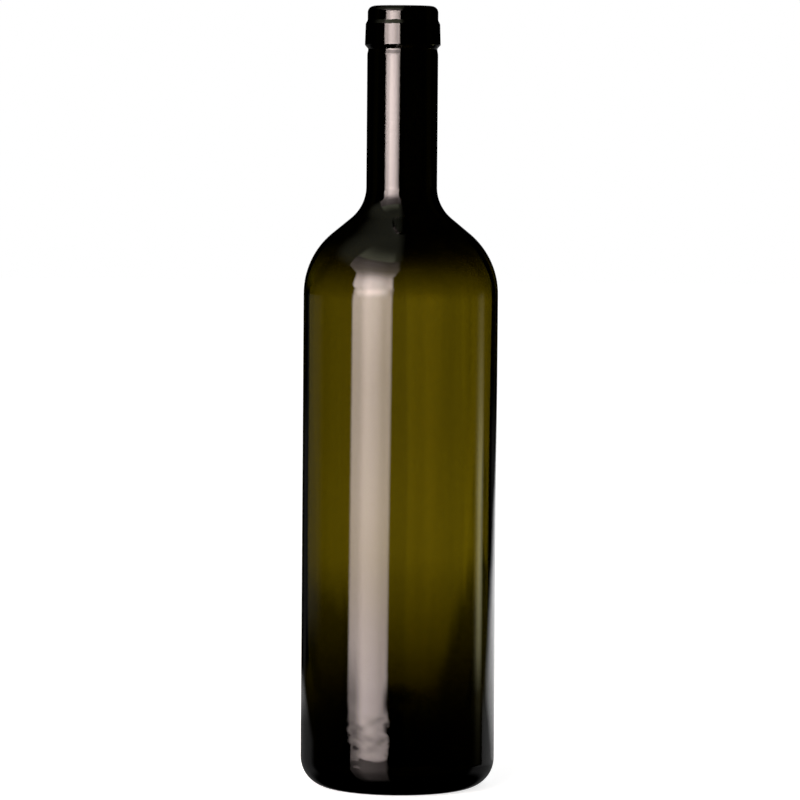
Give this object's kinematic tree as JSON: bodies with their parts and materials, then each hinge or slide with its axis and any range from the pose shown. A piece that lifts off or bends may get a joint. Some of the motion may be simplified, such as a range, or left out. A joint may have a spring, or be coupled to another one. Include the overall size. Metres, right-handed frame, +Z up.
{
  "type": "bordeaux wine bottle",
  "caption": "Empty bordeaux wine bottle of dark green glass with a straight side, high shoulder, banded cork mouth and deep punt.",
  "frame": {"origin": "centre of the foot, on the plane that the bottle stands on", "axes": "+Z up along the bottle's axis, towards the mouth; the bottle is round, so +X and +Y are any two directions square to it"},
  "size_m": [0.0754, 0.0754, 0.303],
  "materials": {
    "glass": "polished dark olive green glass"
  },
  "bodies": {
    "root": {"bottle": "glass"}
  },
  "joints": []
}
